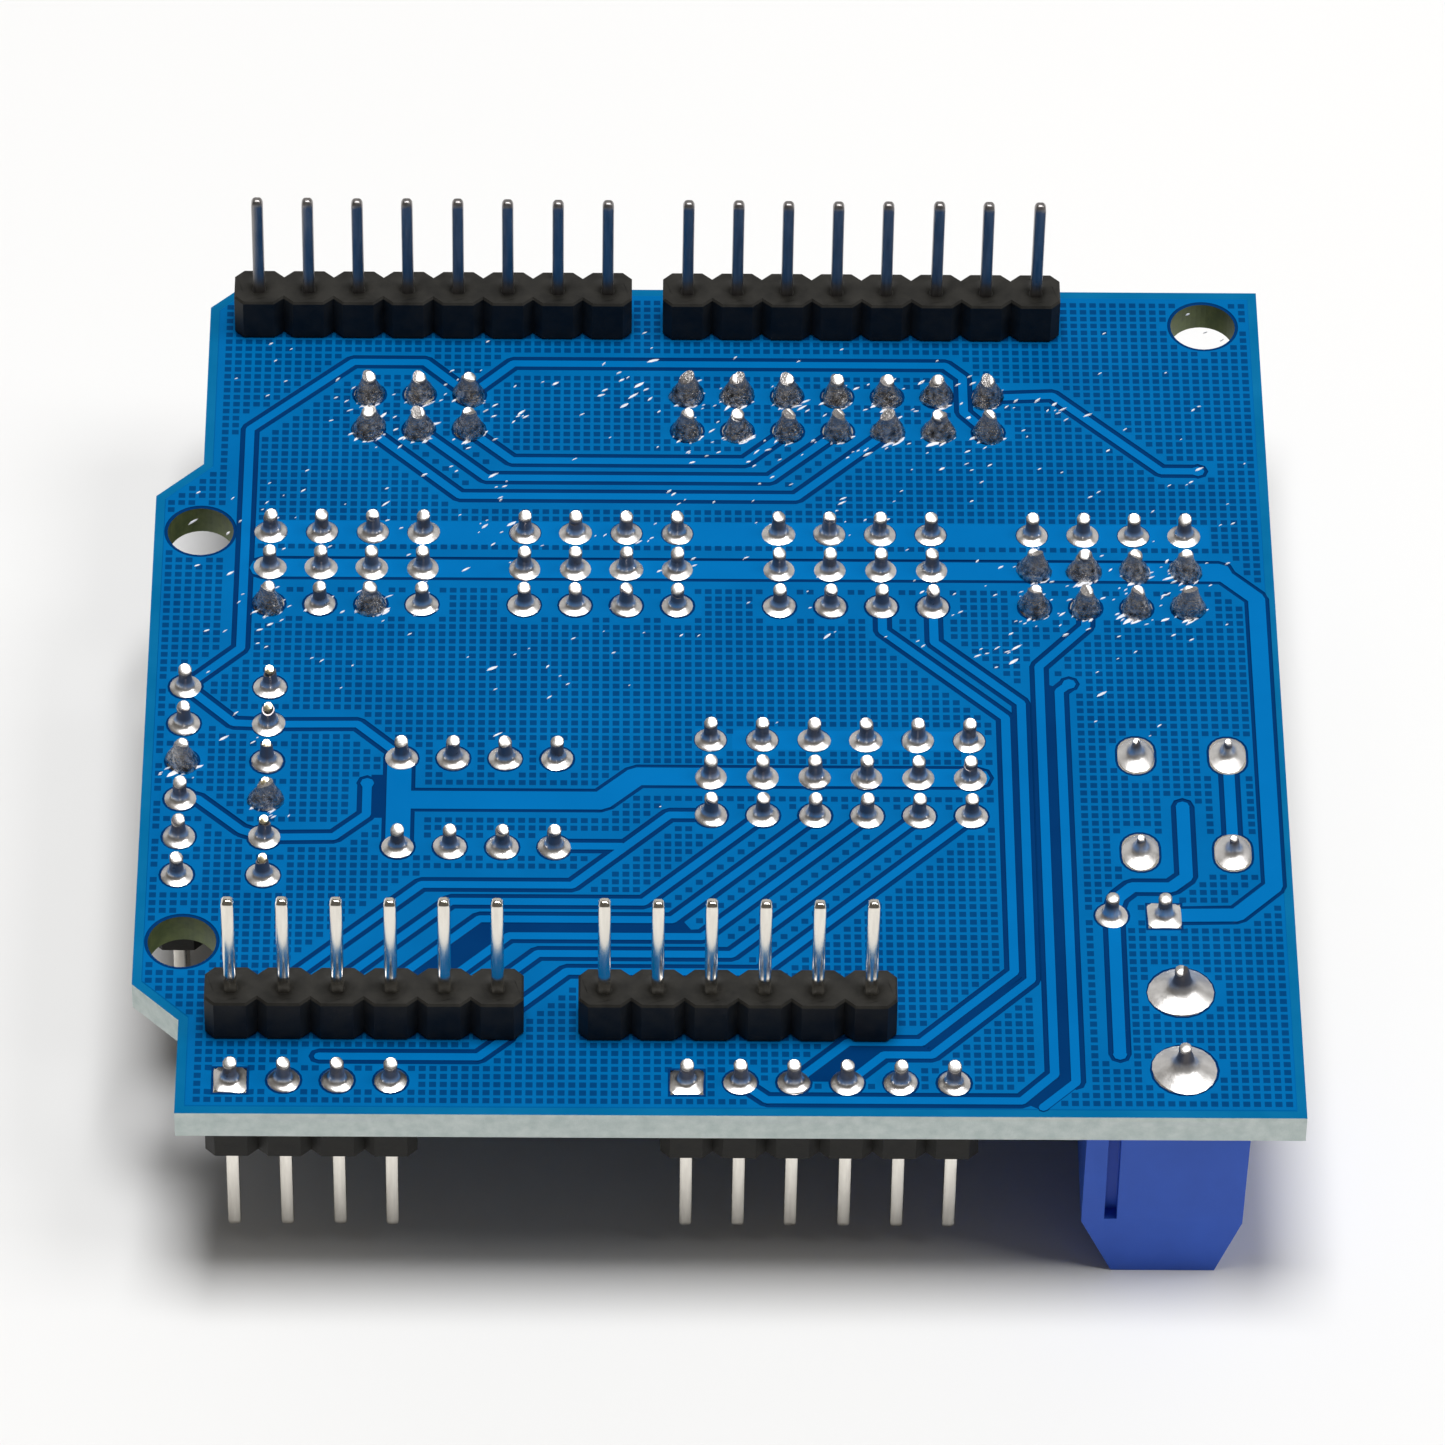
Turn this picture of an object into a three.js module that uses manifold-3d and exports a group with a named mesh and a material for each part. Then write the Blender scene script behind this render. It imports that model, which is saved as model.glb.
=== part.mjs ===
// Servo and sensor expansion board that stacks on a 68 x 53 mm controller board.
//
// The board lies component side down, the way it is put down when its long host
// pins would otherwise be bent: it rests on the top of its screw terminal, and the
// solder side with the four host headers looks up.
//
// Board coordinates, in millimetres: the origin is the first digital pin on the
// solder face, +X runs along the digital row, +Y towards the board's nearer long
// edge, and +Z out of the solder side. The exported group moves that datum so that
// its own origin is the middle of the footprint on the resting surface.
import * as THREE from "three";
import { mergeVertices } from "three/addons/utils/BufferGeometryUtils.js";
import Module from "manifold-3d";

const wasm = await Module();
wasm.setup();

// ---------------------------------------------------------------- driving sizes
const PITCH = 2.54; // pin grid
const BOARD_T = 1.6; // laminate thickness
const BOARD = { left: -4.85, right: 51.1, bottom: -54.2, top: 2.54 };
const EDGE_X = -2.54; // short stretches of the left edge, above and below the ear
const HEADER_GAP = 4.064; // from the last pin of one digital strip to the first of the next
const HOST_ROW_Y = -48.26; // power and analogue row of the controller board

const PIN_W = 0.64; // square pin
const INSULATOR_W = 2.48; // header insulator across the row
const INSULATOR_H = 2.5; // header insulator above the board
const PIN_OUT = 6.04; // bare pin beyond the insulator
const TAIL_OUT = 1.4; // soldered tail beyond the far face of the board
const PIN_HOLE_R = 0.56;
const MOUNT_HOLE_R = 1.65;

const TERMINAL = { x: 45.4, y: -48.7, pitch: 5.0, height: 10.0 };
const SWITCH = { x: 46.03, y: -33.75, legX: 2.25, legY: 3.25 };
const SELECT = { x: 42.25, y: -41.2 };
const SUPPLY_LED = { x: 49.0, y: -40.6 };
const SUPPLY_RESISTOR = { x: 49.0, y: -38.2 };

const MOUNT_HOLES = [
  [-2.54, -15.24],
  [-2.54, -43.18],
  [48.26, 0],
];

// Single and double pin headers: name, first pin, pins along X, pins along -Y.
const DIGITAL_HIGH_X = 7 * PITCH + HEADER_GAP;
const HOST_HEADERS = [
  { name: "host_header_digital_low", x: 0, y: 0, along: 8 },
  { name: "host_header_digital_high", x: DIGITAL_HIGH_X, y: 0, along: 8 },
  { name: "host_header_analog", x: 0, y: HOST_ROW_Y, along: 6 },
  { name: "host_header_power", x: 7 * PITCH, y: HOST_ROW_Y, along: 6 },
];
const IO = { x: 1.0, y: -15.24, groups: 4, columns: 4 };
const ANALOG = { x: 22.93, y: -29.56, columns: 6 };
const ROW_ROLES = ["ground", "supply", "signal"];
const SINGLE_HEADERS = [
  { name: "display_serial_header", x: 5.715, y: -5.33, along: 3, down: 2 },
  { name: "display_parallel_header", x: DIGITAL_HIGH_X, y: -5.33, along: 7, down: 2 },
  { name: "radio_header", x: -2.93, y: -26.1, along: 1, down: 6 },
  { name: "bus_header", x: 7.79, y: -30.91, along: 4 },
  { name: "ranger_header", x: 7.7, y: -36.86, along: 4 },
  { name: "edge_header_short", x: 0.04, y: -52.1, along: 4 },
  { name: "edge_header_long", x: 21.71, y: -52.1, along: 6 },
];
const CARD_SOCKET = { x: 1.23, y: -26.1, count: 6, height: 8.5 };

// ------------------------------------------------------------------- materials
const material = (color, roughness, metalness = 0) =>
  new THREE.MeshStandardMaterial({ color, roughness, metalness });
const MASK_BLUE = material(0x0a62ad, 0.4);
const HEADER_BLACK = material(0x1c1b1b, 0.6);
const TERMINAL_BLUE = material(0x3a50b0, 0.45);
const TIN = material(0xc9c4bb, 0.3, 1);
const STEEL = material(0xb4b6ba, 0.3, 1);
const BRASS = material(0xc8a45a, 0.35, 1);
const SWITCH_BLACK = material(0x202022, 0.5);
const CAP_BLACK = material(0x17181b, 0.45);
const CERAMIC = material(0x23211f, 0.5);
const LED_LENS = material(0xd8e0d0, 0.2);

// -------------------------------------------------------------- solid modelling
// A three.js geometry as a manifold-3d solid.
function solid(geometry) {
  const bare = geometry.clone();
  bare.deleteAttribute("normal");
  bare.deleteAttribute("uv");
  const merged = mergeVertices(bare, 1e-5);
  return new wasm.Manifold(
    new wasm.Mesh({
      numProp: 3,
      vertProperties: merged.attributes.position.array,
      triVerts: new Uint32Array(merged.index.array),
    }),
  );
}

// A manifold-3d solid as a three.js geometry.
function geometryOf(made) {
  const { vertProperties, triVerts } = made.getMesh();
  const geometry = new THREE.BufferGeometry();
  geometry.setAttribute("position", new THREE.BufferAttribute(vertProperties, 3));
  geometry.setIndex(new THREE.BufferAttribute(triVerts, 1));
  geometry.computeVertexNormals();
  return geometry;
}

const unite = (solids) => solids.reduce((whole, next) => whole.add(next));
const cut = (whole, tools) => whole.subtract(unite(tools));

// A block between two corners.
function block([x0, y0, z0], [x1, y1, z1]) {
  const box = new THREE.BoxGeometry(x1 - x0, y1 - y0, z1 - z0);
  return solid(box.translate((x0 + x1) / 2, (y0 + y1) / 2, (z0 + z1) / 2));
}

// An upright round bar on a vertical axis.
function bar(x, y, z0, z1, radius, sides = 20) {
  const cylinder = new THREE.CylinderGeometry(radius, radius, z1 - z0, sides);
  return solid(cylinder.rotateX(Math.PI / 2).translate(x, y, (z0 + z1) / 2));
}

// A turned piece: [radius, height] pairs that start and end on the vertical axis.
function turned(profile, sides) {
  const points = profile.map(([r, z]) => new THREE.Vector2(r, z));
  return solid(new THREE.LatheGeometry(points, sides).rotateX(Math.PI / 2));
}

// A flat outline extruded from z0 to z1.
function plate(outline, z0, z1, holes = []) {
  const shape = new THREE.Shape(outline.map(([x, y]) => new THREE.Vector2(x, y)));
  shape.holes = holes.map(
    (hole) => new THREE.Path(hole.map(([x, y]) => new THREE.Vector2(x, y))),
  );
  const extrusion = new THREE.ExtrudeGeometry(shape, { depth: z1 - z0, bevelEnabled: false });
  return solid(extrusion.translate(0, 0, z0));
}

function polygon(x, y, radius, sides) {
  return Array.from({ length: sides }, (_, k) => {
    const angle = (2 * Math.PI * (k + 0.5)) / sides;
    return [x + radius * Math.cos(angle), y + radius * Math.sin(angle)];
  });
}

function piece(name, made, finish) {
  const mesh = new THREE.Mesh(geometryOf(made), finish);
  mesh.name = name;
  return mesh;
}

// ------------------------------------------------------------------ pin headers
// Header parts stand on z = 0, with the mating side up and the tails below.
const TAIL = BOARD_T + TAIL_OUT;

// A square pin, or its tail, standing on (x, y).
function squarePin(x, y, bottom, top, width = PIN_W) {
  const half = width / 2;
  return block([x - half, y - half, bottom], [x + half, y + half, top]);
}

// The insulator of a header: one chamfered cell for each pin, with a notch between.
function insulatorOutline(along, down) {
  const half = INSULATOR_W / 2;
  const flat = 0.78;
  const notch = half - 0.45;
  const x1 = (along - 1) * PITCH;
  const y1 = -(down - 1) * PITCH;
  const outline = [];
  const side = (count, place) => {
    for (let k = 0; k < count; k++) {
      const middle = k * PITCH;
      if (k > 0) outline.push(place(middle - PITCH / 2, notch));
      outline.push(place(middle - flat, half), place(middle + flat, half));
    }
  };
  side(along, (t, out) => [x1 - t, out]);
  side(down, (t, out) => [-out, -t]);
  side(along, (t, out) => [t, y1 - out]);
  side(down, (t, out) => [x1 + out, y1 + t]);
  return outline;
}

function pinGrid(along, down) {
  const spots = [];
  for (let i = 0; i < along; i++)
    for (let j = 0; j < down; j++) spots.push([i * PITCH, -j * PITCH]);
  return spots;
}

// A male header: its insulator and the pins pressed into it.
function pinHeader(along, down) {
  const top = INSULATOR_H + PIN_OUT;
  const pins = pinGrid(along, down).map(([x, y]) => squarePin(x, y, -TAIL, top));
  return unite([plate(insulatorOutline(along, down), 0, INSULATOR_H), ...pins]);
}

// A female header: a tall insulator with a square socket over each tail.
function socketStrip(count, height) {
  const half = INSULATOR_W / 2;
  const end = (count - 1) * PITCH;
  const tailW = 0.5;
  const tailRoot = 0.5;
  const socketHalf = 0.4;
  const socketFloor = 2.0;
  const body = block([-half, -end - 1.27, 0], [half, 1.27, height]);
  const spots = pinGrid(1, count);
  const sockets = spots.map(([x, y]) =>
    block([x - socketHalf, y - socketHalf, socketFloor], [x + socketHalf, y + socketHalf, height + 1]),
  );
  const tails = spots.map(([x, y]) => squarePin(x, y, -TAIL, tailRoot, tailW));
  return unite([cut(body, sockets), ...tails]);
}

// --------------------------------------------------------------- screw terminal
// Local frame: the solder pins stand on x = 0, wires enter from +x, z = 0 is the board.
const THREAD_PITCH = 0.45; // M2.5
const SCREW_TURNS = 3.75;
const GUARD_TRAVEL = THREAD_PITCH * SCREW_TURNS;
const SCREW_X = -0.78;
const CAGE = { x0: -2.75, x1: 1.15, half: 1.95, wall: 0.4, floor: 0.6, deck: 1.4, roof: 4.2, top: 5.4 };
const GUARD_T = 0.35;
const GUARD_Z = CAGE.deck + 0.15 + GUARD_TRAVEL;
const SCREW_TIP_Z = GUARD_Z + GUARD_T + 0.06;
const SCREW_HEAD = { z: 7.9, h: 1.6, r: 1.85 };

function terminalHousing() {
  const { pitch, height } = TERMINAL;
  const profile = [
    [-4.65, 0],
    [3.15, 0],
    [3.05, 6.55],
    [1.86, height],
    [-3.14, height],
    [-4.7, 6.45],
  ];
  // The profile is drawn in x and z, so the extrusion is stood up along y.
  const shape = new THREE.Shape(profile.map(([x, z]) => new THREE.Vector2(x, z)));
  const extrusion = new THREE.ExtrudeGeometry(shape, { depth: 2 * pitch, bevelEnabled: false });
  const body = solid(extrusion.rotateX(Math.PI / 2).translate(0, pitch, 0));
  const poles = [-pitch / 2, pitch / 2];
  const chamber = CAGE.half + 0.12;
  const hollows = poles.flatMap((y) => [
    block([CAGE.x0 - 0.15, y - chamber, -1], [CAGE.x1 + 0.15, y + chamber, 5.6]),
    bar(SCREW_X, y, 5, height + 1, 2.05),
    block([CAGE.x1, y - 1.45, 1.3], [4, y + 1.45, 4.1]),
  ]);
  const groove = block([-3.6, pitch - 0.7, -1], [-3.0, pitch + 1, 6.25]);
  const tongue = block([-3.52, -pitch - 0.45, 0], [-3.08, -pitch + 0.1, 5.9]);
  return cut(body, [...hollows, groove]).add(tongue);
}

// The metal cage of one pole, with the solder pin that it stands on.
function terminalCage() {
  const { x0, x1, half, wall, floor, deck, roof, top } = CAGE;
  const tube = block([x0, -half, floor], [x1, half, top]);
  const bore = block([x0 - 1, -half + wall, deck], [x1 + 1, half - wall, roof]);
  const thread = bar(SCREW_X, 0, deck + 0.5, top + 1, 1.32);
  const pin = bar(0, 0, -BOARD_T - 1.75, floor + 0.3, 0.5, 12);
  return cut(tube, [bore, thread]).add(pin);
}

// The leaf that the screw presses on the wire, with its lip turned up at the mouth.
function wireGuard() {
  const leaf = block([CAGE.x0 + 0.25, -1.3, GUARD_Z], [CAGE.x1 - 0.05, 1.3, GUARD_Z + GUARD_T]);
  const lip = block([CAGE.x1 - 0.3, -1.3, GUARD_Z], [CAGE.x1 - 0.05, 1.3, GUARD_Z + 0.75]);
  return leaf.add(lip);
}

function clampScrew() {
  const { z, h, r } = SCREW_HEAD;
  const body = turned(
    [
      [0, SCREW_TIP_Z],
      [0.9, SCREW_TIP_Z],
      [1.22, SCREW_TIP_Z + 0.35],
      [1.22, z],
      [r, z],
      [r, z + h - 0.25],
      [r - 0.25, z + h],
      [0, z + h],
    ],
    20,
  );
  const slot = block([-0.35, -2.5, z + h - 0.8], [0.35, 2.5, z + h + 1]);
  return cut(body, [slot]);
}

// ----------------------------------------------------------------- reset switch
// A 6 x 6 mm tactile switch, 5 mm high, centred on its own axis.
const KEY = { half: 3.0, baseTop: 3.1, coverT: 0.3, cavityR: 2.35, cavityZ: 1.3, top: 5.0 };
const LEAD = { w: 0.7, t: 0.3, z: 0.75 };

function switchBase() {
  const { half, baseTop, cavityR, cavityZ } = KEY;
  const body = block([-half, -half, 0.1], [half, half, baseTop]);
  const slots = [-1, 1].map((side) => {
    const x = side * SWITCH.legX;
    const w = LEAD.w / 2 + 0.04;
    return block([x - w, -half - 1, LEAD.z - 0.04], [x + w, half + 1, LEAD.z + LEAD.t + 0.04]);
  });
  return cut(body, [bar(0, 0, cavityZ, baseTop + 1, cavityR, 24), ...slots]);
}

// A lead bar that crosses under the dome and turns down through the board at both ends.
function switchLead() {
  const { w, t, z } = LEAD;
  const reach = SWITCH.legY + t / 2;
  const across = block([-w / 2, -reach, z], [w / 2, reach, z + t]);
  const legs = [-1, 1].map((side) => {
    const y = side * SWITCH.legY;
    return block([-w / 2, y - t / 2, -BOARD_T - 1.2], [w / 2, y + t / 2, z + t]);
  });
  return unite([across, ...legs]);
}

function switchCover() {
  const { half, baseTop, coverT } = KEY;
  const z0 = baseTop + 0.01;
  return block([-half, -half, z0], [half, half, z0 + coverT]).subtract(
    bar(0, 0, baseTop - 1, baseTop + 1, 1.85, 24),
  );
}

function switchDome() {
  const z = KEY.cavityZ + 0.02;
  return turned(
    [
      [0, z + 0.28],
      [1.3, z + 0.2],
      [2.15, z],
      [2.25, z + 0.1],
      [1.35, z + 0.32],
      [0, z + 0.4],
    ],
    20,
  );
}

function switchPlunger() {
  return turned(
    [
      [0, 2.02],
      [0.6, 2.02],
      [0.6, 2.2],
      [2.15, 2.2],
      [2.15, 2.85],
      [1.72, 2.85],
      [1.72, KEY.top - 0.15],
      [1.57, KEY.top],
      [0, KEY.top],
    ],
    24,
  );
}

// ------------------------------------------------------------- selection jumper
const CAP = { x: 2.5, y: 1.2, z0: INSULATOR_H + 0.08, top: 9.2, roof: 0.5 };

function jumperCap() {
  const middle = PITCH / 2;
  const shell = block([middle - CAP.x, -CAP.y, CAP.z0], [middle + CAP.x, CAP.y, CAP.top]);
  const hollow = block([middle - 2.02, -0.76, 0], [middle + 2.02, 0.76, CAP.top - CAP.roof]);
  return cut(shell, [hollow]);
}

// The folded contact band that joins the two pins inside the cap.
function jumperClip() {
  const middle = PITCH / 2;
  const band = block([middle - 1.94, -0.68, 3.4], [middle + 1.94, 0.68, 7.6]);
  return cut(band, [block([middle - 1.7, -0.42, 3], [middle + 1.7, 0.42, 8])]);
}

// ------------------------------------------------------------------------ board
function boardOutline() {
  const { left, right, bottom, top } = BOARD;
  return [
    [EDGE_X, bottom],
    [right, bottom],
    [right, top],
    [-1.02, top],
    [EDGE_X, 1.02],
    [EDGE_X, -10.41],
    [left, -12.72],
    [left, -45.95],
    [EDGE_X, -48.26],
  ];
}

// Every drilled hole that a pin or lead passes through: x, y, radius and sides.
function drilledHoles() {
  const pinHole = ([x, y]) => [x, y, PIN_HOLE_R, 6];
  const headers = [...HOST_HEADERS, ...SINGLE_HEADERS, ...gridHeaders()];
  const pins = headers.flatMap(({ x, y, along, down = 1 }) =>
    pinGrid(along, down).map(([dx, dy]) => pinHole([x + dx, y + dy])),
  );
  const card = pinGrid(1, CARD_SOCKET.count).map(([dx, dy]) =>
    pinHole([CARD_SOCKET.x + dx, CARD_SOCKET.y + dy]),
  );
  const select = [0, PITCH].map((dx) => pinHole([SELECT.x + dx, SELECT.y]));
  const sides = [-1, 1];
  const terminal = sides.map((s) => [TERMINAL.x, TERMINAL.y + (s * TERMINAL.pitch) / 2, 0.7, 12]);
  const key = sides.flatMap((sx) =>
    sides.map((sy) => [SWITCH.x + sx * SWITCH.legX, SWITCH.y + sy * SWITCH.legY, 0.55, 8]),
  );
  return [...pins, ...card, ...select, ...terminal, ...key];
}

function board() {
  const mounting = MOUNT_HOLES.map(([x, y]) => polygon(x, y, MOUNT_HOLE_R, 24));
  const drilled = drilledHoles().map(([x, y, radius, sides]) => polygon(x, y, radius, sides));
  return plate(boardOutline(), -BOARD_T, 0, [...mounting, ...drilled]);
}

// The three-row servo and sensor fields, one strip for each row of each group.
function gridHeaders() {
  const strips = [];
  ROW_ROLES.forEach((role, row) => {
    for (let g = 0; g < IO.groups; g++) {
      const x = IO.x + g * (IO.columns + 1) * PITCH;
      strips.push({ name: `io_${role}_${g + 1}`, x, y: IO.y - row * PITCH, along: IO.columns });
    }
    strips.push({ name: `analog_${role}`, x: ANALOG.x, y: ANALOG.y - row * PITCH, along: ANALOG.columns });
  });
  return strips;
}

// --------------------------------------------------------------------- assembly
// The component side is a group turned over about X: its +z points away from the
// board, and a part at board position (x, y) sits at (x, -y) in it.
const solderSide = new THREE.Group();
const componentSide = new THREE.Group();
componentSide.rotation.x = Math.PI;
componentSide.position.z = -BOARD_T;

function fit(side, mesh, x, y) {
  mesh.position.set(x, side === componentSide ? -y : y, 0);
  side.add(mesh);
}

function addBoardAndHeaders() {
  solderSide.add(piece("pcb", board(), MASK_BLUE));
  for (const { name, x, y, along } of HOST_HEADERS)
    fit(solderSide, piece(name, pinHeader(along, 1), HEADER_BLACK), x, y);
  for (const { name, x, y, along, down = 1 } of [...SINGLE_HEADERS, ...gridHeaders()]) {
    // Rows run towards -y on the board, which is +y in the turned group.
    const header = pinHeader(along, down).translate([0, (down - 1) * PITCH, 0]);
    fit(componentSide, piece(name, header, HEADER_BLACK), x, y);
  }
  const socket = socketStrip(CARD_SOCKET.count, CARD_SOCKET.height);
  const moved = socket.translate([0, (CARD_SOCKET.count - 1) * PITCH, 0]);
  fit(componentSide, piece("card_socket", moved, HEADER_BLACK), CARD_SOCKET.x, CARD_SOCKET.y);
}

function addTerminal() {
  const { x, y, pitch } = TERMINAL;
  fit(componentSide, piece("terminal_housing", terminalHousing(), TERMINAL_BLUE), x, y);
  [1, 2].forEach((pole) => {
    const poleY = y + (pole - 1.5) * pitch;
    fit(componentSide, piece(`terminal_cage_${pole}`, terminalCage(), TIN), x, poleY);
    fit(componentSide, piece(`wire_guard_${pole}`, wireGuard(), STEEL), x, poleY);
    fit(componentSide, piece(`clamp_screw_${pole}`, clampScrew(), STEEL), x + SCREW_X, poleY);
  });
}

function addResetSwitch() {
  const { x, y, legX } = SWITCH;
  fit(componentSide, piece("reset_base", switchBase(), SWITCH_BLACK), x, y);
  fit(componentSide, piece("reset_lead_inner", switchLead(), TIN), x - legX, y);
  fit(componentSide, piece("reset_lead_outer", switchLead(), TIN), x + legX, y);
  fit(componentSide, piece("reset_dome", switchDome(), STEEL), x, y);
  fit(componentSide, piece("reset_plunger", switchPlunger(), SWITCH_BLACK), x, y);
  fit(componentSide, piece("reset_cover", switchCover(), STEEL), x, y);
}

function addSelectJumper() {
  const { x, y } = SELECT;
  const clearance = PIN_W / 2 + 0.03;
  const bores = [0, PITCH].map((dx) =>
    block([dx - clearance, -clearance, -1], [dx + clearance, clearance, INSULATOR_H + 1]),
  );
  const insulator = cut(plate(insulatorOutline(2, 1), 0, INSULATOR_H), bores);
  fit(componentSide, piece("select_insulator", insulator, HEADER_BLACK), x, y);
  [1, 2].forEach((k) => {
    const pin = squarePin(0, 0, -TAIL, INSULATOR_H + PIN_OUT);
    fit(componentSide, piece(`select_pin_${k}`, pin, TIN), x + (k - 1) * PITCH, y);
  });
  fit(componentSide, piece("select_jumper_cap", jumperCap(), CAP_BLACK), x, y);
  fit(componentSide, piece("select_jumper_clip", jumperClip(), BRASS), x, y);
}

function addSupplyLight() {
  const base = block([-0.62, -1.0, 0], [0.62, 1.0, 0.45]);
  const lens = turned(
    [
      [0, 0.3],
      [0.58, 0.3],
      [0.55, 0.8],
      [0.3, 1.0],
      [0, 1.0],
    ],
    12,
  );
  fit(componentSide, piece("supply_led", base.add(lens), LED_LENS), SUPPLY_LED.x, SUPPLY_LED.y);
  const chip = block([-0.62, -1.0, 0], [0.62, 1.0, 0.5]);
  const { x, y } = SUPPLY_RESISTOR;
  fit(componentSide, piece("supply_resistor", chip, CERAMIC), x, y);
}

addBoardAndHeaders();
addTerminal();
addResetSwitch();
addSelectJumper();
addSupplyLight();

const shield = new THREE.Group();
shield.add(solderSide, componentSide);
shield.position.set(
  -(BOARD.left + BOARD.right) / 2,
  -(BOARD.bottom + BOARD.top) / 2,
  BOARD_T + TERMINAL.height,
);

const part = new THREE.Group();
part.add(shield);

export default part;
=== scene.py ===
"""Looks of the servo driver board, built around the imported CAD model.

Lengths are in board millimetres unless a name says otherwise: the origin is the first
digital pin on the solder face, X runs along the digital row, Y towards the board edge beside
that row and Z out of the solder side. The helper at() takes them to metres in the row frame.
"""

import math
import random

import bmesh
import bpy
import numpy as np
from mathutils import Matrix, Vector
from mathutils.geometry import delaunay_2d_cdt


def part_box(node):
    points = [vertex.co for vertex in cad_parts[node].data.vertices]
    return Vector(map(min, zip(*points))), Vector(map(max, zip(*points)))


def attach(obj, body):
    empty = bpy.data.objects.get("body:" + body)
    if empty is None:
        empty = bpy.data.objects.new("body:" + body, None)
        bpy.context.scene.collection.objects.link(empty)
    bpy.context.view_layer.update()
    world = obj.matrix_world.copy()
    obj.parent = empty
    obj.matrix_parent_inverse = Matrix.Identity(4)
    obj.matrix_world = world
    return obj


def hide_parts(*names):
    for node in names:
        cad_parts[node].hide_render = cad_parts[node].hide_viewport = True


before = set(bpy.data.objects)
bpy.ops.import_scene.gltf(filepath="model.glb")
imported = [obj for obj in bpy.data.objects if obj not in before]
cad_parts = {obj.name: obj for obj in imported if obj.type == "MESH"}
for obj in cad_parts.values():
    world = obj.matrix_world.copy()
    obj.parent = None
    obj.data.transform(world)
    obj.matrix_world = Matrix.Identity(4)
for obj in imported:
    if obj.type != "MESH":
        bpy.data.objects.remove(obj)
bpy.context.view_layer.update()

# ------------------------------------------------------------------ driving sizes
MM = 0.001
PITCH = 2.54
BOARD_T = 1.6
LEFT, RIGHT, BOTTOM, TOP = -4.85, 51.1, -54.2, 2.54
EDGE_X = -2.54
HOST_ROW_Y = -48.26
HIGH_X = 21.844
MOUNT_HOLE_R = 1.65
MOUNT_HOLES = [(-2.54, -15.24), (-2.54, -43.18), (48.26, 0.0)]
PIN_HALF = 0.32
DIGITAL_PIN_HALF, ANALOG_PIN_HALF = 0.29, 0.31
PIN_ROUND = 0.12
INSULATOR_HALF = 1.24
INSULATOR_H = 2.5
PIN_TOP = 8.54
TAIL = 1.4
TERMINAL_X, TERMINAL_Y, TERMINAL_PITCH, TERMINAL_H = 45.4, -48.7, 5.0, 10.0
SWITCH_X, SWITCH_Y, LEG_X, LEG_Y = 46.03, -33.75, 2.25, 3.25
SELECT_X, SELECT_Y = 42.25, -41.2
IO_X, IO_Y, IO_STEP = 1.0, -15.24, 12.7
ANALOG_X, ANALOG_Y = 22.93, -29.56

pcb_low, pcb_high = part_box("pcb")
ORIGIN = Vector((pcb_low.x - LEFT * MM, pcb_high.y - TOP * MM, pcb_high.z))


def at(x, y, z=0.0):
    return ORIGIN + Vector((x, y, z)) * MM


# name, first pin, pins along X, pins down -Y, and whether it stands on the solder side
HEADERS = [
    ("host_header_digital_low", 0, 0, 8, 1, True),
    ("host_header_digital_high", HIGH_X, 0, 8, 1, True),
    ("host_header_analog", 0, HOST_ROW_Y, 6, 1, True),
    ("host_header_power", 7 * PITCH, HOST_ROW_Y, 6, 1, True),
    ("display_serial_header", 5.715, -5.33, 3, 2, False),
    ("display_parallel_header", HIGH_X, -5.33, 7, 2, False),
    ("radio_header", -2.93, -26.1, 1, 6, False),
    ("bus_header", 7.79, -30.91, 4, 1, False),
    ("ranger_header", 7.7, -36.86, 4, 1, False),
    ("edge_header_short", 0.04, -52.1, 4, 1, False),
    ("edge_header_long", 21.71, -52.1, 6, 1, False),
]
for row, role in enumerate(["ground", "supply", "signal"]):
    for group in range(4):
        y = IO_Y - PITCH * row
        HEADERS.append((f"io_{role}_{group + 1}", IO_X + IO_STEP * group, y, 4, 1, False))
    HEADERS.append((f"analog_{role}", ANALOG_X, ANALOG_Y - PITCH * row, 6, 1, False))
CARD_X, CARD_Y, CARD_PINS, CARD_H = 1.23, -26.1, 6, 8.5


# ------------------------------------------------------------------- mesh building
class Build:
    """Collects faces in board millimetres and makes one object of them."""

    def __init__(self):
        self.points = []
        self.faces = []
        self.slots = []

    def add(self, points, faces, slot=0):
        first = len(self.points)
        self.points.extend(points)
        for face in faces:
            self.faces.append([first + i for i in face])
            self.slots.append(slot)

    def make(self, name, materials, body="board", nodes=(), smooth=None, slot=None):
        mesh = bpy.data.meshes.new(name)
        mesh.from_pydata([at(*p) for p in self.points], [], self.faces)
        for material in materials:
            mesh.materials.append(material)
        mesh.polygons.foreach_set("material_index", self.slots)
        bm = bmesh.new()
        bm.from_mesh(mesh)
        bmesh.ops.recalc_face_normals(bm, faces=bm.faces)
        bm.to_mesh(mesh)
        bm.free()
        if smooth is not None:
            mesh.shade_smooth()
            mesh.set_sharp_from_angle(angle=math.radians(smooth))
        obj = bpy.data.objects.new(name, mesh)
        bpy.context.scene.collection.objects.link(obj)
        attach(obj, body)
        if nodes:
            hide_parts(*nodes)
        return obj


def lofted(rings, caps=(True, True)):
    """Points and faces of a tube through rings of equal count, with n-gon ends."""
    count = len(rings[0])
    points = [p for ring in rings for p in ring]
    faces = []
    for level in range(len(rings) - 1):
        a = level * count
        b = a + count
        for i in range(count):
            j = (i + 1) % count
            faces.append([a + i, a + j, b + j, b + i])
    if caps[0]:
        faces.append(list(range(count))[::-1])
    if caps[1]:
        faces.append([len(points) - count + i for i in range(count)])
    return points, faces


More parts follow.
